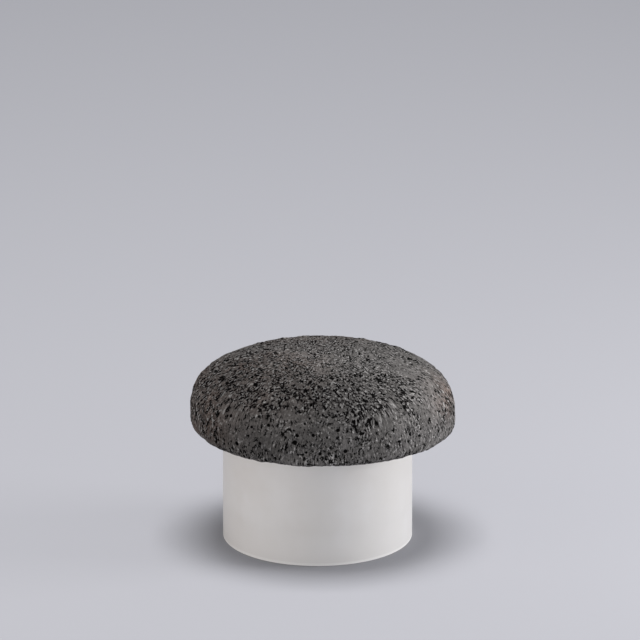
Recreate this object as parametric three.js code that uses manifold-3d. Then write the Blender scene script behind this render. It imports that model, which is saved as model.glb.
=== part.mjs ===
// A mushroom-shaped seat: one rounded, pitted volcanic stone resting on a plain white drum.
// Millimetres, +Z up. The origin is the centre of the drum's foot, on the floor, and +X runs along the
// stone's long side. The front is -Y.
import * as THREE from "three";
import { mergeVertices } from "three/addons/utils/BufferGeometryUtils.js";
import Module from "manifold-3d";

const wasm = await Module();
wasm.setup();

// ---- Driving dimensions -------------------------------------------------------------------------
const DRUM_DIAMETER = 428;
const DRUM_HEIGHT = 244;
const DRUM_EDGE_RADIUS = 3;
const DRUM_SIDES = 72;

const STONE_WIDTH = 594; // along X
const STONE_DEPTH = 574; // along Y
const STONE_TOP = 432; // height of the crown above the floor
const STONE_WAIST = 291; // height at which the stone is widest
const STONE_BELLY = 240; // height that the underside would reach, were it not ground flat where it sits
const STONE_SHIFT = 10; // the stone sits this far to +X of the drum's centre
const STONE_DROOP = 5.4; // how much lower the +X end hangs, and how much higher the -X end
const STONE_DETAIL = 12; // icosahedron subdivision: 20 * (detail + 1)^2 faces

// Each half of the stone is a superellipse: (rise)^upright + (reach)^outward = 1.
const CROWN_POWERS = { upright: 2.9, outward: 2.32 };
const BELLY_POWERS = { upright: 4.3, outward: 2.5 };

// Broad, shallow swells: how fast each runs along x, y and z of the unit direction, its phase, its height.
const SWELLS = [
  { run: [2.1, 1.3, -1.7], phase: 2, height: 0.6 },
  { run: [-1.2, 2.6, 1.9], phase: 2.2, height: 0.7 },
  { run: [3.9, -2.8, 2.5], phase: 4.1, height: 0.8 },
  { run: [-5.6, -4.1, 4.8], phase: 1.1, height: 0.7 },
  { run: [7.3, 6.4, -8.2], phase: 5.2, height: 0.6 },
];

// The distinct round pits on the front: their directions, as degrees round from +X and up from the
// waist before the half sizes stretch them, and their radii.
const FRONT_PITS = [
  { round: -140, up: 42, radius: 4 },
  { round: -138, up: 23, radius: 3 },
  { round: -137, up: 50, radius: 6 },
  { round: -136, up: 24, radius: 4 },
  { round: -133, up: 46, radius: 4.5 },
  { round: -130, up: 2, radius: 5 },
  { round: -124, up: 12, radius: 3 },
  { round: -123, up: 20, radius: 3.5 },
  { round: -118, up: 7, radius: 4 },
  { round: -115, up: 24, radius: 4 },
  { round: -111, up: -14, radius: 3.5 },
  { round: -102, up: 12, radius: 5.5 },
  { round: -101, up: 18, radius: 4 },
  { round: -101, up: 36, radius: 3.5 },
  { round: -98, up: 28, radius: 3 },
  { round: -97, up: 3, radius: 3 },
  { round: -96, up: 32, radius: 3 },
  { round: -96, up: 42, radius: 4 },
  { round: -94, up: 19, radius: 4 },
  { round: -91, up: 2, radius: 4 },
  { round: -89, up: 75, radius: 3 },
  { round: -88, up: 17, radius: 3 },
  { round: -83, up: 23, radius: 4.5 },
  { round: -80, up: 4, radius: 4.5 },
  { round: -76, up: 1, radius: 3 },
  { round: -69, up: 59, radius: 3.5 },
  { round: -64, up: -18, radius: 3.5 },
  { round: -55, up: 7, radius: 3.5 },
  { round: -43, up: 53, radius: 3.5 },
  { round: -42, up: 13, radius: 3 },
  { round: -25, up: 20, radius: 3 },
  { round: 5, up: 48, radius: 4.5 },
];

// The other large pits are scattered evenly, with a little disorder, over the whole stone.
const SCATTERED_PITS = 318;
const SCATTER_DISORDER = 0.6; // share of the even spacing by which each one may be moved
const PIT_RADIUS_LEAST = 3.5;
const PIT_RADIUS_MOST = 7;
const PIT_DEPTH_SHARE = 0.9; // depth of a pit as a share of its radius
const PIT_STRETCH_LEAST = 0.75; // a pit's second radius as a share of its first
const PIT_STRETCH_MOST = 1.25;
const PIT_SIDES = 6;
const PIT_CLEARANCE = 1.4; // distance between two pits' centres, as a share of their radii together
const PIT_SEAT_MARGIN = 14; // no pit is centred lower than this above the seat

// ---- The stone's form ---------------------------------------------------------------------------
const CENTRE = new THREE.Vector3(STONE_SHIFT, 0, STONE_WAIST);
const GOLDEN_ANGLE = Math.PI * (3 - Math.sqrt(5));
const HALVINGS = 40;
const NUDGE = 1e-3;
const MERGE_TOLERANCE = 1e-4;

// How far along a unit direction, in units of the half sizes, the superellipse lies.
function reachAlong(across, rise, powers) {
  let inside = 0.5;
  let outside = 1.6;
  for (let i = 0; i < HALVINGS; i++) {
    const middle = (inside + outside) / 2;
    const sum = (middle * rise) ** powers.upright + (middle * across) ** powers.outward;
    if (sum < 1) inside = middle;
    else outside = middle;
  }
  return (inside + outside) / 2;
}

function swellAt(direction) {
  return SWELLS.reduce((sum, swell) => {
    const along = direction.x * swell.run[0] + direction.y * swell.run[1] + direction.z * swell.run[2];
    return sum + swell.height * Math.sin(along + swell.phase);
  }, 0);
}

// The point of the stone's smooth outside in a unit direction, before the seat is ground flat.
function stonePoint(direction) {
  const crown = direction.z >= 0;
  const across = Math.hypot(direction.x, direction.y);
  const reach = reachAlong(across, Math.abs(direction.z), crown ? CROWN_POWERS : BELLY_POWERS);
  const halfHeight = crown ? STONE_TOP - STONE_WAIST : STONE_WAIST - STONE_BELLY;
  const offset = new THREE.Vector3(
    (STONE_WIDTH / 2) * reach * direction.x,
    (STONE_DEPTH / 2) * reach * direction.y,
    halfHeight * reach * direction.z,
  );
  offset.z -= STONE_DROOP * (offset.x / (STONE_WIDTH / 2)) ** 3;
  offset.setLength(offset.length() + swellAt(direction));
  return offset.add(CENTRE);
}

function outwardNormal(direction) {
  const side = new THREE.Vector3(-direction.y, direction.x, 0);
  if (side.lengthSq() < NUDGE) side.set(1, 0, 0);
  side.normalize();
  const up = new THREE.Vector3().crossVectors(direction, side);
  const here = stonePoint(direction);
  const along = (step) => stonePoint(direction.clone().addScaledVector(step, NUDGE).normalize()).sub(here);
  return along(side).cross(along(up)).normalize();
}

// ---- Pits ---------------------------------------------------------------------------------------
// A repeatable number from 0 to 1 for each index and channel.
const CHANCE = { indexStep: 127.1, channelStep: 311.7, spread: 43758.5453 };

function chance(index, channel) {
  const wave = Math.sin(index * CHANCE.indexStep + channel * CHANCE.channelStep) * CHANCE.spread;
  return wave - Math.floor(wave);
}

function directionAt(round, height) {
  const across = Math.sqrt(Math.max(0, 1 - height * height));
  return new THREE.Vector3(across * Math.cos(round), across * Math.sin(round), height);
}

function frontPits() {
  return FRONT_PITS.map(({ round, up, radius }) => ({
    direction: directionAt(THREE.MathUtils.degToRad(round), Math.sin(THREE.MathUtils.degToRad(up))),
    radius,
  }));
}

function scatteredPits() {
  const spacing = Math.sqrt((4 * Math.PI) / SCATTERED_PITS) * SCATTER_DISORDER;
  const pits = [];
  for (let i = 0; i < SCATTERED_PITS; i++) {
    const height = 1 - (2 * (i + 0.5)) / SCATTERED_PITS;
    const direction = directionAt(i * GOLDEN_ANGLE, height);
    direction.x += (chance(i, 1) - 0.5) * spacing;
    direction.y += (chance(i, 2) - 0.5) * spacing;
    direction.z += (chance(i, 3) - 0.5) * spacing;
    const radius = PIT_RADIUS_LEAST + (PIT_RADIUS_MOST - PIT_RADIUS_LEAST) * chance(i, 4) ** 2;
    pits.push({ direction: direction.normalize(), radius });
  }
  return pits;
}

// Front pits keep their places, and a scattered one is left out where it would touch another pit.
function allPits() {
  const placed = [];
  for (const pit of [...frontPits(), ...scatteredPits()]) {
    const point = stonePoint(pit.direction);
    const clear = placed.every(
      (other) => other.point.distanceTo(point) > PIT_CLEARANCE * (other.radius + pit.radius),
    );
    if (clear && point.z > DRUM_HEIGHT + PIT_SEAT_MARGIN) placed.push({ ...pit, point });
  }
  return placed;
}

// ---- Solids -------------------------------------------------------------------------------------
function solidOf(geometry) {
  const bare = geometry.clone();
  bare.deleteAttribute("normal");
  bare.deleteAttribute("uv");
  const merged = mergeVertices(bare, MERGE_TOLERANCE);
  return new wasm.Manifold(
    new wasm.Mesh({
      numProp: 3,
      vertProperties: new Float32Array(merged.attributes.position.array),
      triVerts: new Uint32Array(merged.index.array),
    }),
  );
}

function geometryOf(solid) {
  const mesh = solid.getMesh();
  const geometry = new THREE.BufferGeometry();
  geometry.setAttribute("position", new THREE.BufferAttribute(mesh.vertProperties, 3));
  geometry.setIndex(new THREE.BufferAttribute(mesh.triVerts, 1));
  return geometry;
}

function roundedStone() {
  const geometry = new THREE.IcosahedronGeometry(1, STONE_DETAIL);
  const position = geometry.attributes.position;
  const direction = new THREE.Vector3();
  for (let i = 0; i < position.count; i++) {
    direction.fromBufferAttribute(position, i).normalize();
    const point = stonePoint(direction);
    position.setXYZ(i, point.x, point.y, Math.max(point.z, DRUM_HEIGHT));
  }
  return solidOf(geometry);
}

function pitCutter({ direction, radius, point }, index) {
  const geometry = new THREE.SphereGeometry(1, PIT_SIDES, 2).rotateX(Math.PI / 2);
  const stretch = THREE.MathUtils.lerp(PIT_STRETCH_LEAST, PIT_STRETCH_MOST, chance(index, 6));
  geometry.scale(radius, radius * stretch, radius * PIT_DEPTH_SHARE);
  geometry.rotateZ(chance(index, 5) * Math.PI * 2);
  const upright = new THREE.Vector3(0, 0, 1);
  const turn = new THREE.Quaternion().setFromUnitVectors(upright, outwardNormal(direction));
  geometry.applyQuaternion(turn);
  geometry.translate(point.x, point.y, point.z);
  return solidOf(geometry);
}

function pittedStone() {
  const cutters = allPits().map(pitCutter);
  return roundedStone().subtract(wasm.Manifold.union(cutters));
}

function drumGeometry() {
  const radius = DRUM_DIAMETER / 2;
  const edge = DRUM_EDGE_RADIUS;
  const bend = edge * (1 - Math.SQRT1_2);
  const profile = [
    [0, 0],
    [radius - edge, 0],
    [radius - bend, bend],
    [radius, edge],
    [radius, DRUM_HEIGHT - edge],
    [radius - bend, DRUM_HEIGHT - bend],
    [radius - edge, DRUM_HEIGHT],
    [0, DRUM_HEIGHT],
  ].map(([across, height]) => new THREE.Vector2(across, height));
  return new THREE.LatheGeometry(profile, DRUM_SIDES).rotateX(Math.PI / 2);
}

// ---- Assembly -----------------------------------------------------------------------------------
function namedMesh(name, geometry, color, roughness) {
  const material = new THREE.MeshStandardMaterial({ color, roughness, metalness: 0 });
  const mesh = new THREE.Mesh(geometry, material);
  mesh.name = name;
  return mesh;
}

const seat = new THREE.Group();
seat.add(namedMesh("drum", drumGeometry(), 0xdcdbd9, 0.5));
seat.add(namedMesh("stone", geometryOf(pittedStone()), 0x5a5755, 0.9));

export default seat;
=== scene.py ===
"""The looks of the mushroom-shaped stone seat: a pitted volcanic stone resting on a pale drum.

+Z is up, the origin is at the centre of the drum's foot, and the front is -Y. The object's sizes are
named in millimetres, and its meshes, materials and stage are made in metres.
"""
import math

import bmesh
import bpy
import numpy as np
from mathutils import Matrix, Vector


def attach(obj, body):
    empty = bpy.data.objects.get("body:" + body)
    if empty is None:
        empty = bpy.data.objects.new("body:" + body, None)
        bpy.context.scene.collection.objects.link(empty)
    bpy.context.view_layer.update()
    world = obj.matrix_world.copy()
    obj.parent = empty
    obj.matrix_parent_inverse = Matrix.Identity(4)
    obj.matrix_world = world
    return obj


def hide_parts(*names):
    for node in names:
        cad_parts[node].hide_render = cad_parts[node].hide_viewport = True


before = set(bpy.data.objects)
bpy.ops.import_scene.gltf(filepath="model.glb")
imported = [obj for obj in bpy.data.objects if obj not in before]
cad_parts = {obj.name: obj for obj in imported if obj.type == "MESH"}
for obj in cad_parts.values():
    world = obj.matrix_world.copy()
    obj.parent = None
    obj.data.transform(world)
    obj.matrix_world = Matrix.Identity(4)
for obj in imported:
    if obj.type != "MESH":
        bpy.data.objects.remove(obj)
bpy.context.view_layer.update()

# ---- Driving dimensions, in millimetres -------------------------------------------------------------
# They are the CAD model's, but for the stone's outside, which its relief cuts back a little: it starts
# 1.8 mm wider at each end, 0.8 mm further to +X and slightly rounder below.
DRUM_RADIUS = 214.0
DRUM_HEIGHT = 244.0
DRUM_EDGE_RADIUS = 3.0

STONE_HALF_WIDTH = 298.8  # along X
STONE_HALF_DEPTH = 287.0  # along Y
STONE_TOP = 432.0
STONE_WAIST = 291.0  # the height at which the stone is widest
STONE_BELLY = 240.0  # the height its underside would reach, were it not ground flat where it sits
STONE_SHIFT = 10.8  # how far the stone sits to +X of the drum's centre
STONE_DROOP = 5.4  # how much lower the +X end hangs, and how much higher the -X end
CROWN_POWERS = (2.9, 2.32)  # of the superellipse: upright, outward
BELLY_POWERS = (4.15, 2.5)
SWELLS = [  # slow waves over the stone: how they run over the unit directions, phase, height
    ((2.1, 1.3, -1.7), 2.0, 0.6),
    ((-1.2, 2.6, 1.9), 2.2, 0.7),
    ((3.9, -2.8, 2.5), 4.1, 0.8),
    ((-5.6, -4.1, 4.8), 1.1, 0.7),
    ((7.3, 6.4, -8.2), 5.2, 0.6),
]
MM = 0.001

# ---- The stone's surface: how fine, and how rough -------------------------------------------------
STONE_SUBDIVISIONS = 9
STONE_TRIANGLES = 196_000
PROFILE_STEPS = 3000
SEAT_DENSITY = 0.12  # the hidden ground face needs few vertices
SEAT_TOLERANCE = 0.1  # what lies this close to the ground face belongs to it
SEAT_MARGIN = 1.5  # no pit is cut this close above the ground face
SEAT_FADE = 6.0  # and above that the relief grows to its full height over this much

# How rough the stone is before the patches: an even share, and noise of two sizes, each with its
# size, how much it counts and its channel. The range is then stretched to run from 0 to 1.
ROUGH_SHARE = 0.60
ROUGH_NOISES = [(90.0, 0.35, 401), (34.0, 0.75, 405)]
ROUGH_RANGE = (0.10, 0.80)

# Where the stone is smoother or rougher than the rest: degrees round from +X, degrees up, spread in
# degrees, and how much rougher (+) or smoother (-).
PATCHES = [
    (-123, 20, 12, -0.45),
    (-135, 12, 11, -0.25),
    (-157, 35, 8, -0.40),
    (-95, 9, 10, -0.40),
    (-100, 31, 5, -0.40),
    (-9, 55, 8, -0.55),
    (-69, 85, 5, -0.40),
    (-87, 68, 5, -0.40),
    (-21, 38, 7, -0.35),
    (-54, 20, 8, -0.20),
    (24, 68, 8, -0.30),
    (-158, 48, 13, 0.55),
    (-144, 59, 11, 0.55),
    (-118, 46, 13, 0.60),
    (-103, 48, 9, 0.45),
    (-72, 48, 13, 0.55),
    (-39, 54, 10, 0.60),
    (-66, 38, 12, 0.60),
    (-41, 36, 11, 0.40),
    (97, 77, 10, 0.35),
    (-20, 20, 30, -0.20),
    (0, 52, 22, -0.15),
    (-38, 25, 16, -0.30),
    (-45, -5, 24, -0.25),
    (-58, 25, 14, -0.15),
    (-160, 40, 20, 0.25),
    (-167, 5, 15, 0.15),
    (-60, -5, 25, -0.20),
    (-95, -8, 18, -0.20),
    (-150, 50, 25, 0.20),
    (-90, 85, 20, 0.20),
]

# Where the stone is painted paler (+) or darker (-): painted light and shade, paler towards +X and low on the
# front, darker across the front's upper half, with some of the stone's own mottled tone. Degrees round,
# degrees up, spread in degrees, doublings.
LIGHT_AND_TONE_PLACES = [
    (-20, 25, 45, 0.45),
    (-20, -10, 35, 0.35),
    (-45, -5, 22, 0.30),
    (-87, 35, 16, -0.35),
    (-90, 0, 30, 0.12),
    (90, 85, 24, 0.35),
    (-90, -8, 22, 0.27),
    (-5, 0, 20, 0.12),
    (-30, 22, 22, 0.10),
    (180, 5, 20, 0.25),
    (-30, 50, 25, 0.12),
    (-160, 40, 22, -0.25),
    (-95, 48, 22, -0.30),
    (-90, 85, 20, 0.30),
    (-148, 50, 35, -0.30),
    (-125, 10, 25, -0.55),
    (-90, -8, 45, 0.20),
]

# Where the stone is faintly brown: degrees round from +X, degrees up, spread in degrees.
WARM_PLACES = [(-176, 15, 26), (-145, 55, 25), (-165, 0, 26), (-8, 25, 14), (95, 30, 30)]

# The marks run down the stone's sides from its crown. Pits and ridges are laid out in flow
# coordinates, in which a millimetre down the side counts for less than a millimetre round it: a
# little less for the pits, much less for the ridges. Each is how wide the crown and sides unroll,
# how far down from the crown the marks begin to run, and how much a drop in height is pressed.
PIT_FLOW = (366.0, 590.0, 5.0)
RIDGE_FLOW = (200.0, 220.0, 10.0)
FLOW_WANDER = 3.5  # how far the marks wander
FLOW_WANDER_SIZE = 48.0
FLOW_RAGGED = 1.0  # how ragged the pits' edges are
FLOW_RAGGED_SIZE = 5.0
FURROW_RAGGED = 0.5  # what the furrows take of that
FRONT_PIT_RAGGED = 0.4  # and what the round pits on the front take

# The distinct round pits on the front, as the CAD model has them: round, up, radius in millimetres.
FRONT_PITS = [
    (-140, 42, 4.0), (-138, 23, 3.0), (-137, 50, 6.0), (-136, 24, 4.0), (-133, 46, 4.5),
    (-130, 2, 5.0), (-124, 12, 3.0), (-123, 20, 3.5), (-118, 7, 4.0), (-115, 24, 4.0),
    (-111, -14, 3.5), (-102, 12, 5.5), (-101, 18, 4.0), (-101, 36, 3.5), (-98, 28, 3.0),
    (-97, 3, 3.0), (-96, 32, 3.0), (-96, 42, 4.0), (-94, 19, 4.0), (-91, 2, 4.0),
    (-89, 75, 3.0), (-88, 17, 3.0), (-83, 23, 4.5), (-80, 4, 4.5), (-76, 1, 3.0),
    (-69, 59, 3.5), (-64, -18, 3.5), (-55, 7, 3.5), (-43, 53, 3.5), (-42, 13, 3.0),
    (-25, 20, 3.0), (5, 48, 4.5),
]
FRONT_PIT_REACH = 1.5  # how far from its centre a pit is worked out, in radii
FRONT_PIT_DEPTH = 1.15  # its depth, in radii

# Bubbles frozen in the rock and cut open by its surface: the cell that holds one, its least and
# greatest radius, and the share of cells with one where the stone is smooth and where it is rough.
BUBBLE_CELL = 11.0
BUBBLE_RADII = (1.4, 2.6)
BUBBLE_SHARES = (0.05, 0.50)
BUBBLE_FADE = 0.08  # how softly bubbles shrink away where the share of them falls
CAVITY_DEPTH = 3.0  # the depth from which a cavity counts in full

FURROW_SIZE = 4.5  # between the furrows that run down the sides
FURROW_HEIGHT = 2.0
FURROW_EDGES = (0.05, 0.50)  # the noise at which a crest or trough begins, and is full
CREST_RISE = 0.40  # shares of the furrows' height
TROUGH_FALL = 0.60
FURROW_SETBACK = 0.35
GRAIN_SIZE = 3.0
GRAIN_HEIGHT = 0.6
HOLLOW_SIZE = 26.0
HOLLOW_HEIGHT = 2.6
SMOOTH_FURROWS = 0.3  # the share of the furrows and grain that smooth stone keeps
SMOOTH_HOLLOWS = 0.4  # and of the hollows

# The channels of the noise: one for each use, and enough after it for its axes or layers.
BUBBLE_PLACE_CHANNEL = 11
BUBBLE_CHANCE_CHANNEL = 16
BUBBLE_RADIUS_CHANNEL = 17
FURROW_CHANNEL = 61
GRAIN_CHANNEL = 71
HOLLOW_CHANNEL = 81
WANDER_CHANNEL = 301
RAGGED_CHANNEL = 311


# ---- Repeatable noise ------------------------------------------------------------------------------
# Large odd numbers that scatter a cell's place and its channel.
PLACE_FACTORS = (73856093, 19349663, 83492791)
CHANNEL_FACTOR = 2654435761
FIRST_MIX = 1274126177
SECOND_MIX = 2246822519
LOW_32_BITS = 0xFFFFFFFF
LOW_24_BITS = 0xFFFFFF


def hashed(cell, channel):
    """A repeatable number from 0 to 1 for each whole-numbered cell."""
    x, y, z = (cell[:, axis].astype(np.int64) * PLACE_FACTORS[axis] for axis in range(3))
    n = x ^ y ^ z ^ (channel * CHANNEL_FACTOR)
    n = (n ^ (n >> 13)) * FIRST_MIX & LOW_32_BITS
    n = (n ^ (n >> 16)) * SECOND_MIX & LOW_32_BITS
    return ((n ^ (n >> 15)) & LOW_24_BITS).astype(np.float32) / LOW_24_BITS


def noise(points, size, channel):
    """Smooth noise from -1 to 1, with features about one size across."""
    scaled = points / size
    whole = np.floor(scaled)
    part = (scaled - whole).astype(np.float32)
    part = part * part * part * (part * (part * 6 - 15) + 10)  # so that no cell's edge shows
    total = np.zeros(len(points), np.float32)
    for corner in np.ndindex(2, 2, 2):
        weight = np.ones(len(points), np.float32)
        for axis in range(3):
            weight *= part[:, axis] if corner[axis] else 1 - part[:, axis]
        total += weight * hashed(whole + corner, channel)
    return total * 2 - 1


def layered(points, size, channel, layers=3):
    """Noise with finer and weaker layers added."""
    total = sum(noise(points, size / 2**i, channel + i) / 2**i for i in range(layers))
    return total / sum(1 / 2**i for i in range(layers))


def smoothstep(low, high, value):
    """0 below low, 1 above high, and a soft step between."""
    t = np.clip((value - low) / (high - low), 0, 1)
    return t * t * (3 - 2 * t)


def towards(round_degrees, up_degrees):
    """The unit direction this far round from +X and this far up."""
    round_, up = math.radians(round_degrees), math.radians(up_degrees)
    return np.array([math.cos(up) * math.cos(round_), math.cos(up) * math.sin(round_), math.sin(up)])


def angle_round(directions):
    return np.arctan2(directions[:, 1], directions[:, 0])


def nearness(directions, place, spread_degrees):
    """1 at a place on the stone, falling softly to 0 round it."""
    apart = np.degrees(np.arccos(np.clip(directions @ place, -1, 1)))
    return np.exp(-((apart / spread_degrees) ** 2))


# ---- The stone's smooth form ------------------------------------------------------------------------
REACH_LIMITS = (0.5, 1.6)  # surely inside the superellipse, and surely outside it
REACH_HALVINGS = 26


def reach_along(across, rise, powers):
    """How far along a unit direction, in units of the half sizes, the superellipse lies."""
    upright, outward = powers
    inside = np.full_like(across, REACH_LIMITS[0])
    outside = np.full_like(across, REACH_LIMITS[1])
    for _ in range(REACH_HALVINGS):
        middle = (inside + outside) / 2
        within = (middle * rise) ** upright + (middle * across) ** outward < 1
        inside = np.where(within, middle, inside)
        outside = np.where(within, outside, middle)
    return (inside + outside) / 2


def stone_points(directions):
    """The points of the stone's smooth outside in unit directions, in millimetres, ground flat below."""
    x, y, z = directions.T
    across = np.hypot(x, y)
    crown = z >= 0
    reach = np.where(
        crown,
        reach_along(across, np.abs(z), CROWN_POWERS),
        reach_along(across, np.abs(z), BELLY_POWERS),
    )
    half_height = np.where(crown, STONE_TOP - STONE_WAIST, STONE_WAIST - STONE_BELLY)
    offset = [STONE_HALF_WIDTH * reach * x, STONE_HALF_DEPTH * reach * y, half_height * reach * z]
    offset = np.stack(offset, axis=1)
    offset[:, 2] -= STONE_DROOP * (offset[:, 0] / STONE_HALF_WIDTH) ** 3
    length = np.linalg.norm(offset, axis=1)
    swell = sum(height * np.sin(directions @ np.array(run) + phase) for run, phase, height in SWELLS)
    offset *= ((length + swell) / length)[:, None]
    points = offset + [STONE_SHIFT, 0, STONE_WAIST]
    points[:, 2] = np.maximum(points[:, 2], DRUM_HEIGHT)
    return points


def profile():
    """Down the stone from its crown: the polar angle, the share of the surface above, the way along."""
    polar = np.linspace(0, math.pi, PROFILE_STEPS)
    directions = np.stack([np.sin(polar), 0 * polar, np.cos(polar)], axis=1)
    points = stone_points(directions)
    step = np.linalg.norm(np.diff(points, axis=0), axis=1)
    middle = (points[1:] + points[:-1]) / 2
    weight = np.where(middle[:, 2] < DRUM_HEIGHT + SEAT_TOLERANCE, SEAT_DENSITY, 1.0)
    area = np.concatenate([[0], np.cumsum(np.abs(middle[:, 0] - STONE_SHIFT) * step * weight)])
    way = np.concatenate([[0], np.cumsum(step)])
    return polar, area / area[-1], way


def evenly_spread(directions, polar, share):
    """The sphere's directions moved up or down, so that they lie evenly over the flattened stone."""
    down = np.interp((1 - directions[:, 2]) / 2, share, polar)
    round_ = angle_round(directions)
    return np.stack([np.sin(down) * np.cos(round_), np.sin(down) * np.sin(round_), np.cos(down)], axis=1)


def way_down(directions, polar, way):
    """How far down the stone's surface from its crown, in millimetres."""
    return np.interp(np.arccos(np.clip(directions[:, 2], -1, 1)), polar, way)


# ---- What roughens it -------------------------------------------------------------------------------
def roughness_of(directions, points):
    """0 where the stone is worn smooth, 1 where it is all pits and ridges."""
    rough = ROUGH_SHARE
    for size, amount, channel in ROUGH_NOISES:
        rough = rough + amount * layered(points, size, channel)
    for round_, up, spread, amount in PATCHES:
        rough += amount * nearness(directions, towards(round_, up), spread)
    return smoothstep(*ROUGH_RANGE, rough)


def painted_light_and_tone_of(directions):
    """How much paler (+) or darker (-) the stone is painted than the rest, in doublings: painted light and
    shade, with some of its own tone.
    """
    return sum(
        amount * nearness(directions, towards(round_, up), spread)
        for round_, up, spread, amount in LIGHT_AND_TONE_PLACES
    )


def warmth_of(directions):
    """1 where the stone is faintly brown, 0 elsewhere."""
    warm = sum(nearness(directions, towards(round_, up), spread) for round_, up, spread in WARM_PLACES)
    return np.clip(warm, 0, 1)


def flow_places(directions, points, polar, way, flow):
    """Where each point lies in flow coordinates, with the marks' wander."""
    radius, start, press = flow
    down = way_down(directions, polar, way)
    reach = radius * (1 - np.exp(-down / start))
    round_ = angle_round(directions)
    places = np.stack([reach * np.cos(round_), reach * np.sin(round_), down / press], axis=1)
    for axis in range(3):
        places[:, axis] += FLOW_WANDER * noise(points, FLOW_WANDER_SIZE, WANDER_CHANNEL + axis)
    return places


def bubble_depth(places, rough):
    """How deep the bubbles cut the surface, in millimetres."""
    smooth_share, rough_share = BUBBLE_SHARES
    least, most = BUBBLE_RADII
    share = smooth_share + (rough_share - smooth_share) * rough
    depth = np.zeros(len(places), np.float32)
    nearest = np.floor(places / BUBBLE_CELL - 0.5)
    for corner in np.ndindex(2, 2, 2):
        cell = nearest + corner
        seed = np.stack([hashed(cell, BUBBLE_PLACE_CHANNEL + axis) for axis in range(3)], axis=1)
        apart = (((places / BUBBLE_CELL - cell - seed) * BUBBLE_CELL) ** 2).sum(1)
        radius = least + (most - least) * hashed(cell, BUBBLE_RADIUS_CHANNEL) ** 2
        spare = share - hashed(cell, BUBBLE_CHANCE_CHANNEL)
        radius *= smoothstep(-BUBBLE_FADE, BUBBLE_FADE, spare)
        depth = np.maximum(depth, np.sqrt(np.maximum(radius**2 - apart, 0)))
    return depth


def front_pit_depth(points):
    """How deep the round pits on the front cut the surface, in millimetres."""
    depth = np.zeros(len(points))
    for round_, up, radius in FRONT_PITS:
        centre = stone_points(towards(round_, up)[None])[0]
        near = np.abs(points - centre).max(axis=1) < FRONT_PIT_REACH * radius
        apart = np.linalg.norm(points[near] - centre, axis=1)
        cut = FRONT_PIT_DEPTH * np.sqrt(np.maximum(radius**2 - apart**2, 0))
        depth[near] = np.maximum(depth[near], cut)
    return depth


def carve(directions, points, pit_flow, ridge_flow):
    """How far each point moves along its normal, with its cavity, its ridge and its roughness."""
    rough = roughness_of(directions, points)
    ragged = [noise(points, FLOW_RAGGED_SIZE, RAGGED_CHANNEL + axis) for axis in range(3)]
    ragged = FLOW_RAGGED * np.stack(ragged, axis=1)
    bubbles = bubble_depth(pit_flow + ragged, rough)
    bubbles = np.maximum(bubbles, front_pit_depth(points + FRONT_PIT_RAGGED * ragged))

    kept = SMOOTH_FURROWS + (1 - SMOOTH_FURROWS) * rough
    furrow = layered(ridge_flow + FURROW_RAGGED * ragged, FURROW_SIZE, FURROW_CHANNEL, layers=2)
    trough = smoothstep(*FURROW_EDGES, -furrow)
    crest = smoothstep(*FURROW_EDGES, furrow)
    furrows = FURROW_HEIGHT * kept * (CREST_RISE * crest - TROUGH_FALL * trough - FURROW_SETBACK)
    grain = GRAIN_HEIGHT * kept * noise(pit_flow, GRAIN_SIZE, GRAIN_CHANNEL)
    kept_hollows = SMOOTH_HOLLOWS + (1 - SMOOTH_HOLLOWS) * rough
    hollow = HOLLOW_HEIGHT * kept_hollows * layered(points, HOLLOW_SIZE, HOLLOW_CHANNEL)

    move = furrows + grain + hollow - bubbles
    cavity = np.clip(bubbles / CAVITY_DEPTH, 0, 1)
    ridge = kept * (crest - trough)
    return move, cavity, ridge, rough


# ---- Small helpers for meshes and nodes -------------------------------------------------------------
def new_object(name, data):
    obj = bpy.data.objects.new(name, data)
    bpy.context.scene.collection.objects.link(obj)
    return obj


def read_vectors(collection, name):
    values = np.empty(len(collection) * 3)
    collection.foreach_get(name, values)
    return values.reshape(-1, 3)


def read_whole_numbers(collection, name):
    values = np.empty(len(collection), np.int64)
    collection.foreach_get(name, values)
    return values


def write_points(mesh, points):
    """Moves a mesh's vertices to points in millimetres."""
    mesh.vertices.foreach_set("co", (points * MM).astype(np.float32).ravel())
    mesh.update()


def write_attribute(mesh, name, values):
    """Keeps a number or a vector with each of a mesh's vertices."""
    kind, field = ("FLOAT", "value") if values.ndim == 1 else ("FLOAT_VECTOR", "vector")
    attribute = mesh.attributes.new(name, kind, "POINT")
    attribute.data.foreach_set(field, np.ascontiguousarray(values, np.float32).ravel())


def apply_modifiers(obj):
    with bpy.context.temp_override(object=obj, active_object=obj, selected_objects=[obj]):
        for modifier in list(obj.modifiers):
            bpy.ops.object.modifier_apply(modifier=modifier.name)


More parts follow.
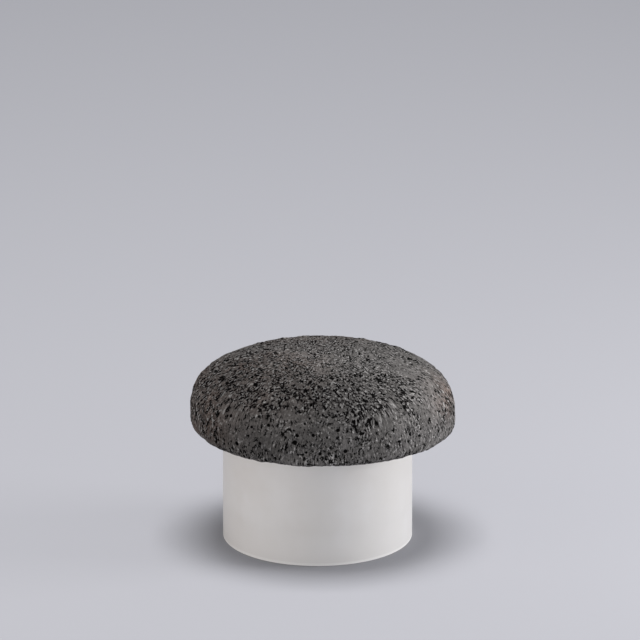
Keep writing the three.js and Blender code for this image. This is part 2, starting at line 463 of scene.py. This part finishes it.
class Nodes:
    """A material's node tree, with short calls to add and join its nodes."""

    def __init__(self, name):
        self.material = bpy.data.materials.new(name)
        self.material.use_nodes = True
        self.tree = self.material.node_tree
        self.tree.nodes.clear()
        output = self.add("ShaderNodeOutputMaterial")
        self.shader = self.add("ShaderNodeBsdfPrincipled")
        self.join(self.shader.outputs["BSDF"], output.inputs["Surface"])

    def add(self, kind, inputs=None, **settings):
        node = self.tree.nodes.new(kind)
        for key, value in settings.items():
            setattr(node, key, value)
        for key, value in (inputs or {}).items():
            self.feed(node.inputs[key], value)
        return node

    def feed(self, socket, value):
        if isinstance(value, bpy.types.NodeSocket):
            self.join(value, socket)
        else:
            socket.default_value = value

    def join(self, output, socket):
        self.tree.links.new(output, socket)

    def finish(self, name, value):
        """Sets one of the shader's own inputs."""
        self.feed(self.shader.inputs[name], value)

    def attribute(self, name, output="Fac"):
        return self.add("ShaderNodeAttribute", attribute_name=name).outputs[output]

    def noise(self, where, scale, detail, rough, output="Fac"):
        inputs = {"Vector": where, "Scale": scale, "Detail": detail, "Roughness": rough}
        return self.add("ShaderNodeTexNoise", inputs).outputs[output]

    def span(self, value, source, result=(0.0, 1.0)):
        """A value stretched from one range to another, and held within it."""
        low, high = source
        to_low, to_high = result
        inputs = {"Value": value, "From Min": low, "From Max": high, "To Min": to_low, "To Max": to_high}
        return self.add("ShaderNodeMapRange", inputs, clamp=True).outputs["Result"]

    def math(self, operation, first, second):
        return self.add("ShaderNodeMath", {0: first, 1: second}, operation=operation).outputs["Value"]

    def plus(self, first, second):
        return self.math("ADD", first, second)

    def minus(self, first, second):
        return self.math("SUBTRACT", first, second)

    def times(self, first, second):
        return self.math("MULTIPLY", first, second)

    def largest(self, first, *others):
        for other in others:
            first = self.math("MAXIMUM", first, other)
        return first

    def scaled(self, vector, by):
        return self.add("ShaderNodeVectorMath", {0: vector, "Scale": by}, operation="SCALE").outputs["Vector"]

    def moved(self, vector, by):
        return self.add("ShaderNodeVectorMath", {0: vector, 1: by}, operation="ADD").outputs["Vector"]

    def upright(self, vector):
        return self.add("ShaderNodeSeparateXYZ", {"Vector": vector}).outputs["Z"]

    def mix(self, share, first, second):
        node = self.add("ShaderNodeMix", data_type="RGBA")
        self.feed(node.inputs["Factor"], share)
        self.feed(node.inputs["A"], first)
        self.feed(node.inputs["B"], second)
        return node.outputs["Result"]

    def place(self):
        return self.add("ShaderNodeTexCoord").outputs["Object"]

    def bump(self, height, strength, distance):
        inputs = {"Height": height, "Strength": strength, "Distance": distance}
        self.finish("Normal", self.add("ShaderNodeBump", inputs).outputs["Normal"])


# ---- The stone's material ---------------------------------------------------------------------------
STONE_DARK = (0.061, 0.058, 0.056, 1)
STONE_PALE = (0.085, 0.081, 0.079, 1)
STONE_WARM = (0.104, 0.073, 0.060, 1)
# crests and pits' lips: partly wear, partly a painted highlight where light catches the relief
STONE_WEAR_AND_HIGHLIGHT = (0.162, 0.157, 0.154, 1)
# painted shade: the pits are painted near-black, where shade falls in them
STONE_PIT_SHADE = (0.003, 0.003, 0.003, 1)

# Noise: features per metre, how many finer layers, and how strong those are.
SHAKE = (620.0, 1.0, 0.50)
LONG_MARKS = (400.0, 1.0, 0.50)  # in ridge flow, so they run far down the sides
SHORT_MARKS = (620.0, 1.5, 0.55)
CROWN_MARKS = (360.0, 2.0, 0.60)
GATHERINGS = (90.0, 2.0, 0.55)
CRUMBS = (165.0, 2.0, 0.55)
BROAD_TONES = (14.0, 3.0, 0.55)
WARM_TONES = (11.0, 2.0, 0.55)
NOISE_MIDDLE = 0.5

# How the noises are put together. Of a pair of edges, the first is where a mark begins to show and
# the second is where it shows in full. Of a pair by roughness, the first is for smooth stone.
SHAKE_REACH = 0.0022  # metres
CROWN_EDGES = (0.35, 0.80)  # the height of the unit direction at which the crown's marks set in
FIELD_LONG = 0.50  # the share of long marks in what sinks into pits
FIELD_RIDGE = 0.015  # and what the carved ridges add to it
STREAK_LONG = 0.58  # the share of long marks in what rises into crests
GATHER_SPREAD = 0.50
GATHER_BY_ROUGH = (-0.062, 0.014)
HOLE_EDGES = (0.030, 0.064)
CREST_EDGES = (0.048, 0.125)
CAVITY_EDGES = (0.30, 0.50)

# Round pits: cells per metre, the share of cells that may hold one, and its greatest radius in cells.
LARGER_PITS = (215.0, 0.85, 0.38)
SMALLER_PITS = (400.0, 0.85, 0.46)
LEAST_RADIUS = -0.15  # below nothing, so the cells least likely to hold a pit have none
CHANCE_BY_ROUGH = (-0.30, 0.0)
CHANCE_FULLY_ROUGH = 0.9
INSIDE_EDGES = (0.0, 0.05)
LIP_EDGES = (-0.22, -0.05)
SMALLER_PIT_SHARE = 0.85
LIP_SHARE = 0.25

# How the marks colour the stone: shares of a mark's own colour, and doublings of brightness, which are
# painted light and shade.
TONE_EDGES = (0.35, 0.65)
WARM_EDGES = (0.40, 0.66)
WARM_SHARES = (0.30, 0.75)
PIT_SHADE_SHARE = 0.97
GATHER_EDGES = (-0.13, 0.07)
# painted shade: crowded places are painted darker, as if shaded among their pits, and sparse ones a little
# lighter
CLUSTER_SHADE_DOUBLINGS = (0.20, -0.15)  # crowded places are a little darker
# painted light and shade along the furrows: crests lighter, troughs darker
FURROW_SHADE_DOUBLINGS = 0.20
# painted shade by depth: what sinks towards the pits is painted darker, what rises lighter
DEPTH_SHADE_DOUBLINGS = 4.5
MARK_EDGES = (0.3, 0.7)
STONE_ROUGHNESS = (0.82, 0.96)
STONE_GLOSS = (0.14, 0.0)  # open stone, inside a pit

# The relief that is too fine for the mesh, in millimetres.
CRUMBS_BY_ROUGH = (4.0, 13.0)
FIELD_EDGES = (-0.15, 0.15)
FIELD_BY_ROUGH = (0.65, 1.20)
FIELD_HEIGHT = 0.7
PIT_DEPTH = 0.8
LIP_HEIGHT = 0.3


def round_pits(nodes, flow, rough, scale, share, most):
    """Small bubbles cut open by the surface: 1 inside one, and 1 on the lip round one."""
    cell = nodes.add("ShaderNodeTexVoronoi", {"Vector": flow, "Scale": scale}).outputs
    chance = nodes.add("ShaderNodeSeparateColor", {"Color": cell["Color"]}).outputs["Red"]
    likely = nodes.plus(chance, nodes.span(rough, (0.0, CHANCE_FULLY_ROUGH), CHANCE_BY_ROUGH))
    radius = nodes.span(likely, (1 - share, 1.0), (LEAST_RADIUS, most))
    inside = nodes.minus(radius, cell["Distance"])
    return nodes.span(inside, INSIDE_EDGES), nodes.span(inside, LIP_EDGES)


def stone_marks(nodes, pit_flow):
    """The short marks, and what rises into crests and sinks into pits: both run down the sides."""
    long = nodes.noise(nodes.attribute("ridge_flow", "Vector"), *LONG_MARKS)
    crown = nodes.span(nodes.upright(nodes.attribute("direction", "Vector")), CROWN_EDGES)
    short = nodes.noise(pit_flow, *SHORT_MARKS)
    wide = nodes.noise(pit_flow, *CROWN_MARKS)
    short = nodes.plus(short, nodes.times(crown, nodes.minus(wide, short)))
    streak = nodes.plus(nodes.times(long, STREAK_LONG), nodes.times(short, 1 - STREAK_LONG))
    field = nodes.plus(nodes.times(long, FIELD_LONG), nodes.times(short, 1 - FIELD_LONG))
    field = nodes.plus(field, nodes.times(nodes.attribute("ridge"), FIELD_RIDGE))
    return short, nodes.minus(streak, NOISE_MIDDLE), nodes.minus(field, NOISE_MIDDLE)


def stone_pits(nodes, pit_flow, rough, gather, streak, field):
    """How far each place is inside a pit, and how far it is on a crest or a pit's lip."""
    larger, larger_lip = round_pits(nodes, pit_flow, rough, *LARGER_PITS)
    smaller, smaller_lip = round_pits(nodes, pit_flow, rough, *SMALLER_PITS)
    hole = nodes.span(nodes.minus(gather, field), HOLE_EDGES)
    bubble = nodes.span(nodes.attribute("cavity"), CAVITY_EDGES)
    pit = nodes.largest(nodes.times(smaller, SMALLER_PIT_SHARE), hole, larger, bubble)
    crest = nodes.span(nodes.plus(gather, streak), CREST_EDGES)
    lip = nodes.times(nodes.largest(larger_lip, smaller_lip), LIP_SHARE)
    return pit, nodes.largest(lip, crest)


def stone_colour(nodes, where, gather, field, pit, lip):
    """Grey, faintly brown in places, with light-coloured crests that are partly wear and partly painted
    highlight, pits painted near-black as painted shade, and paler or darker by doublings that are mostly
    painted light and shade.
    """
    broad = nodes.span(nodes.noise(where, *BROAD_TONES), TONE_EDGES)
    colour = nodes.mix(broad, STONE_DARK, STONE_PALE)
    warm = nodes.span(nodes.noise(where, *WARM_TONES), WARM_EDGES, WARM_SHARES)
    colour = nodes.mix(nodes.times(warm, nodes.attribute("warm")), colour, STONE_WARM)
    # partly wear, partly painted highlight on the crests and lips
    colour = nodes.mix(lip, colour, STONE_WEAR_AND_HIGHLIGHT)
    # painted shade inside the pits
    colour = nodes.mix(nodes.times(pit, PIT_SHADE_SHARE), colour, STONE_PIT_SHADE)
    # painted shade among crowded pits, then painted light and shade along the furrows
    cluster_and_furrow_shade = nodes.span(gather, GATHER_EDGES, CLUSTER_SHADE_DOUBLINGS)
    cluster_and_furrow_shade = nodes.plus(cluster_and_furrow_shade, nodes.times(nodes.attribute("ridge"), FURROW_SHADE_DOUBLINGS))
    # painted shade by depth
    depth_shade = nodes.times(field, DEPTH_SHADE_DOUBLINGS)
    # the doublings are mostly painted light and shade, with some of the stone's own tone
    doublings = nodes.plus(nodes.attribute("pale"), nodes.plus(cluster_and_furrow_shade, depth_shade))
    return nodes.scaled(colour, nodes.math("POWER", 2.0, doublings))


def stone_relief(nodes, pit_flow, rough, field, pit, lip):
    """The height of the finest relief, in millimetres."""
    crumbs = nodes.times(nodes.noise(pit_flow, *CRUMBS), nodes.span(rough, (0.0, 1.0), CRUMBS_BY_ROUGH))
    swell = nodes.span(nodes.times(field, nodes.span(rough, (0.0, 1.0), FIELD_BY_ROUGH)), FIELD_EDGES)
    relief = nodes.plus(crumbs, nodes.times(swell, FIELD_HEIGHT))
    relief = nodes.minus(relief, nodes.times(pit, PIT_DEPTH))
    return nodes.plus(relief, nodes.times(lip, LIP_HEIGHT))


def stone_material():
    nodes = Nodes("volcanic_stone")
    where = nodes.place()
    rough = nodes.attribute("rough")
    pit_flow = nodes.attribute("pit_flow", "Vector")
    shake = nodes.scaled(nodes.noise(pit_flow, *SHAKE, output="Color"), SHAKE_REACH)
    pit_flow = nodes.moved(pit_flow, shake)
    short, streak, field = stone_marks(nodes, pit_flow)

    # Pits and crests gather in clusters, and more so where the stone is rough.
    gather = nodes.minus(nodes.noise(where, *GATHERINGS), NOISE_MIDDLE)
    by_rough = nodes.span(rough, (0.0, 1.0), GATHER_BY_ROUGH)
    gather = nodes.plus(nodes.times(gather, GATHER_SPREAD), by_rough)
    pit, lip = stone_pits(nodes, pit_flow, rough, gather, streak, field)

    nodes.finish("Base Color", stone_colour(nodes, where, gather, field, pit, lip))
    nodes.finish("Roughness", nodes.span(short, MARK_EDGES, STONE_ROUGHNESS))
    nodes.finish("Specular IOR Level", nodes.span(pit, (0.0, 1.0), STONE_GLOSS))
    relief = stone_relief(nodes, pit_flow, rough, field, pit, lip)
    nodes.bump(relief, strength=1.0, distance=MM)
    return nodes.material


# ---- The drum's material ----------------------------------------------------------------------------
DRUM_CREAM = (0.660, 0.640, 0.620, 1)
DRUM_WHITE = (0.715, 0.705, 0.700, 1)
DRUM_BAND = (0.665, 0.650, 0.632, 1)
# painted light: the drum is painted paler towards its foot, standing in for light falling there
DRUM_FOOT_LIGHT = (0.800, 0.785, 0.775, 1)
# painted highlight: the light the floor throws onto the foot's rounded edge
DRUM_EDGE_HIGHLIGHT = (0.920, 0.910, 0.900, 1)
DRUM_ROUGHNESS = (0.42, 0.52)
DRUM_GLOSS = 0.45

BAND_STRETCH = (1.0, 1.0, 0.18)  # noise pressed in height gives upright bands
BAND_NOISE = (16.0, 2.0, 0.55)
CLOUD_NOISE = (7.0, 3.0, 0.55)
SPECK_NOISE = (900.0, 2.0, 0.55)
SPECK_HEIGHT = 0.00008  # metres
SPECK_STRENGTH = 0.25
BAND_SHARES = (0.0, 0.5)
# painted light at the foot
FOOT_LIGHT_HEIGHTS = (0.0, 0.08)  # metres; the foot's tone is gone above the second
FOOT_LIGHT_SHARES = (0.7, 0.0)
# painted highlight along the foot's rounded edge
EDGE_HIGHLIGHT_HEIGHTS = (0.004, 0.009)
EDGE_HIGHLIGHT_SHARES = (0.9, 0.0)


def drum_material():
    """Satin off-white with slight upright bands, painted paler towards the foot as painted light, and palest
    at its rounded edge as a painted highlight.
    """
    nodes = Nodes("pale_drum")
    where = nodes.place()
    tall = nodes.add("ShaderNodeMapping", {"Vector": where, "Scale": BAND_STRETCH}).outputs["Vector"]
    bands = nodes.noise(tall, *BAND_NOISE)
    cloud = nodes.noise(where, *CLOUD_NOISE)
    height = nodes.upright(where)

    colour = nodes.mix(nodes.span(cloud, TONE_EDGES), DRUM_CREAM, DRUM_WHITE)
    colour = nodes.mix(nodes.span(bands, TONE_EDGES, BAND_SHARES), colour, DRUM_BAND)
    # painted light towards the foot
    colour = nodes.mix(nodes.span(height, FOOT_LIGHT_HEIGHTS, FOOT_LIGHT_SHARES), colour, DRUM_FOOT_LIGHT)
    # painted highlight at the rounded edge of the foot
    colour = nodes.mix(nodes.span(height, EDGE_HIGHLIGHT_HEIGHTS, EDGE_HIGHLIGHT_SHARES), colour, DRUM_EDGE_HIGHLIGHT)
    nodes.finish("Base Color", colour)
    nodes.finish("Roughness", nodes.span(cloud, MARK_EDGES, DRUM_ROUGHNESS))
    nodes.finish("Specular IOR Level", DRUM_GLOSS)
    nodes.bump(nodes.noise(where, *SPECK_NOISE), strength=SPECK_STRENGTH, distance=SPECK_HEIGHT)
    return nodes.material


# ---- The stone ----------------------------------------------------------------------------------------
def sphere_mesh(name, subdivisions):
    made = bmesh.new()
    bmesh.ops.create_icosphere(made, subdivisions=subdivisions, radius=1.0)
    mesh = bpy.data.meshes.new(name)
    made.to_mesh(mesh)
    made.free()
    return mesh


# The map that the stone is baked on: two discs side by side.
BAKE_RADIUS = 0.235
BAKE_CROWN = 0.25  # the middle of the crown's disc, across the map
BAKE_SEAT = 0.75
BAKE_MIDDLE = 0.5


def bake_map(mesh, polar, way):
    """The stone unrolled from its crown onto one disc and from its seat onto another, side by side."""
    directions = read_vectors(mesh.attributes["direction"].data, "vector")
    directions /= np.maximum(np.linalg.norm(directions, axis=1, keepdims=True), 1e-6)
    waist = np.interp(math.pi / 2, polar, way)
    corners = read_whole_numbers(mesh.loops, "vertex_index")
    starts = read_whole_numbers(mesh.polygons, "loop_start")
    height = np.add.reduceat(directions[corners, 2], starts)
    sizes = np.diff(np.append(starts, len(corners)))
    crown = np.repeat(height >= 0, sizes)
    down = way_down(directions[corners], polar, way)
    reach = BAKE_RADIUS * np.where(crown, down / waist, (way[-1] - down) / (way[-1] - waist))
    round_ = angle_round(directions[corners])
    across = np.where(crown, BAKE_CROWN, BAKE_SEAT) + reach * np.cos(round_) * np.where(crown, 1, -1)
    flat = np.stack([across, BAKE_MIDDLE + reach * np.sin(round_)], axis=1)
    layer = mesh.uv_layers.new(name="OFBake")
    layer.data.foreach_set("uv", flat.astype(np.float32).ravel())


def stone_surface(polar, share, way):
    """The carved surface, with what its material needs to know at each vertex."""
    mesh = sphere_mesh("stone_surface", STONE_SUBDIVISIONS)
    directions = evenly_spread(read_vectors(mesh.vertices, "co"), polar, share)
    points = stone_points(directions)
    write_points(mesh, points)
    normals = read_vectors(mesh.vertex_normals, "vector")
    pit_flow = flow_places(directions, points, polar, way, PIT_FLOW)
    ridge_flow = flow_places(directions, points, polar, way, RIDGE_FLOW)
    move, cavity, ridge, rough = carve(directions, points, pit_flow, ridge_flow)
    open_ = smoothstep(0.0, SEAT_FADE, points[:, 2] - DRUM_HEIGHT - SEAT_MARGIN)
    points += normals * (move * open_)[:, None]
    points[:, 2] = np.maximum(points[:, 2], DRUM_HEIGHT)
    write_points(mesh, points)
    attributes = {
        "cavity": cavity * open_,
        "ridge": ridge * open_,
        "rough": rough,
        "warm": warmth_of(directions),
        # painted light and shade, with some of the stone's own tone, in doublings
        "pale": painted_light_and_tone_of(directions),
        "pit_flow": pit_flow * MM,
        "ridge_flow": ridge_flow * MM,
        "direction": directions,
    }
    for name, values in attributes.items():
        write_attribute(mesh, name, values)
    return mesh


def build_stone():
    polar, share, way = profile()
    mesh = stone_surface(polar, share, way)
    stone = new_object("pitted_stone", mesh)
    thin = stone.modifiers.new("fewer_triangles", "DECIMATE")
    thin.ratio = STONE_TRIANGLES / len(mesh.polygons)
    apply_modifiers(stone)
    bake_map(stone.data, polar, way)
    stone.data.shade_smooth()
    stone.data.materials.append(stone_material())
    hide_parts("stone")
    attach(stone, "root")


# ---- The drum -----------------------------------------------------------------------------------------
DRUM_SIDES = 256
EDGE_STEPS = 6


def drum_profile():
    """From the middle of the foot, out, up and in over the top: radii and heights in millimetres."""
    points = [(0.0, 0.0)]
    inner = DRUM_RADIUS - DRUM_EDGE_RADIUS
    for middle, start in ((DRUM_EDGE_RADIUS, -90), (DRUM_HEIGHT - DRUM_EDGE_RADIUS, 0)):
        for step in range(EDGE_STEPS + 1):
            angle = math.radians(start + 90 * step / EDGE_STEPS)
            reach = inner + DRUM_EDGE_RADIUS * math.cos(angle)
            points.append((reach, middle + DRUM_EDGE_RADIUS * math.sin(angle)))
    return points + [(0.0, DRUM_HEIGHT)]


def drum_ring(made, radius, height):
    """One turn of vertices round the drum, or a single vertex on its axis."""
    if radius == 0:
        return [made.verts.new((0, 0, height * MM))]
    ring = []
    for side in range(DRUM_SIDES):
        angle = 2 * math.pi * side / DRUM_SIDES
        reach = radius * MM
        ring.append(made.verts.new((reach * math.cos(angle), reach * math.sin(angle), height * MM)))
    return ring


def build_drum():
    made = bmesh.new()
    rings = [drum_ring(made, radius, height) for radius, height in drum_profile()]
    for lower, upper in zip(rings, rings[1:]):
        for side in range(DRUM_SIDES):
            after = (side + 1) % DRUM_SIDES
            if len(lower) == 1:
                made.faces.new((lower[0], upper[after], upper[side]))
            elif len(upper) == 1:
                made.faces.new((lower[side], lower[after], upper[0]))
            else:
                made.faces.new((lower[side], lower[after], upper[after], upper[side]))
    mesh = bpy.data.meshes.new("drum_surface")
    made.to_mesh(mesh)
    made.free()
    drum = new_object("plain_drum", mesh)
    mesh.shade_smooth()
    mesh.materials.append(drum_material())
    drum.modifiers.new("flat_ends", "WEIGHTED_NORMAL").keep_sharp = False
    apply_modifiers(drum)
    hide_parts("drum")
    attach(drum, "root")


# ---- The stage: floor, light and camera, in metres ---------------------------------------------------
CAMERA_ELEVATION = 19.4  # degrees
CAMERA_DISTANCE = 40.0
CAMERA_AIM = (0.0054, 0.0, 0.514)
CAMERA_CLIP_END = 200
FRAME_WIDTH = 1.4436  # across the picture at the object
SENSOR_WIDTH = 36.0  # millimetres

FLOOR_SIZE = 60.0
FLOOR_COLOUR = (0.405, 0.408, 0.440, 1)
FLOOR_ROUGHNESS = 0.9
FLOOR_GLOSS = 0.1

ROOM_COLOUR = (0.95, 0.97, 1.0, 1)
ROOM_STRENGTH = 0.35

# Area lights: name, place, what they face, size, power in watts, colour. The large one overhead gives
# the soft ring of shadow round the drum, and the one to +X makes that side the brighter.
LAMPS = [
    ("ceiling", (0.0, 0.2, 8.0), (0, 0, 0), (4.0, 4.0), 610, (1.0, 0.99, 0.99)),
    ("key", (3.6, 0.05, 0.8), (0, 0, 0.3), (1.6, 1.2), 90, (1.0, 0.99, 0.99)),
    ("front", (-0.8, -4.0, 0.45), (0, 0, 0.15), (2.4, 0.7), 27, (1.0, 0.98, 0.96)),
    ("fill", (-3.2, -1.0, 0.6), (0, 0, 0.25), (1.8, 1.0), 24, (1.0, 0.91, 0.82)),
]


def build_floor():
    bpy.ops.mesh.primitive_plane_add(size=FLOOR_SIZE, location=(0, 0, 0))
    floor = bpy.context.object
    floor.name = "floor"
    nodes = Nodes("pale_floor")
    nodes.finish("Base Color", FLOOR_COLOUR)
    nodes.finish("Roughness", FLOOR_ROUGHNESS)
    nodes.finish("Specular IOR Level", FLOOR_GLOSS)
    floor.data.materials.append(nodes.material)


def area_light(name, place, aim, size, power, colour):
    data = bpy.data.lights.new(name, "AREA")
    data.shape = "RECTANGLE"
    data.size, data.size_y = size
    data.energy = power
    data.color = colour
    lamp = new_object(name, data)
    lamp.location = place
    lamp.rotation_euler = (Vector(aim) - Vector(place)).to_track_quat("-Z", "Y").to_euler()


def light_stage():
    world = bpy.data.worlds.new("soft_room")
    world.use_nodes = True
    background = world.node_tree.nodes["Background"]
    background.inputs["Color"].default_value = ROOM_COLOUR
    background.inputs["Strength"].default_value = ROOM_STRENGTH
    bpy.context.scene.world = world
    bpy.context.scene.view_settings.view_transform = "Standard"
    for lamp in LAMPS:
        area_light(*lamp)


def place_camera():
    data = bpy.data.cameras.new("camera")
    data.sensor_width = SENSOR_WIDTH
    data.lens = SENSOR_WIDTH * CAMERA_DISTANCE / FRAME_WIDTH
    data.clip_end = CAMERA_CLIP_END
    camera = new_object("camera", data)
    up = math.radians(CAMERA_ELEVATION)
    back = Vector((0, -math.cos(up), math.sin(up)))
    camera.location = Vector(CAMERA_AIM) + back * CAMERA_DISTANCE
    camera.rotation_euler = (-back).to_track_quat("-Z", "Y").to_euler()
    bpy.context.scene.camera = camera


place_camera()
build_drum()
build_stone()
build_floor()
light_stage()
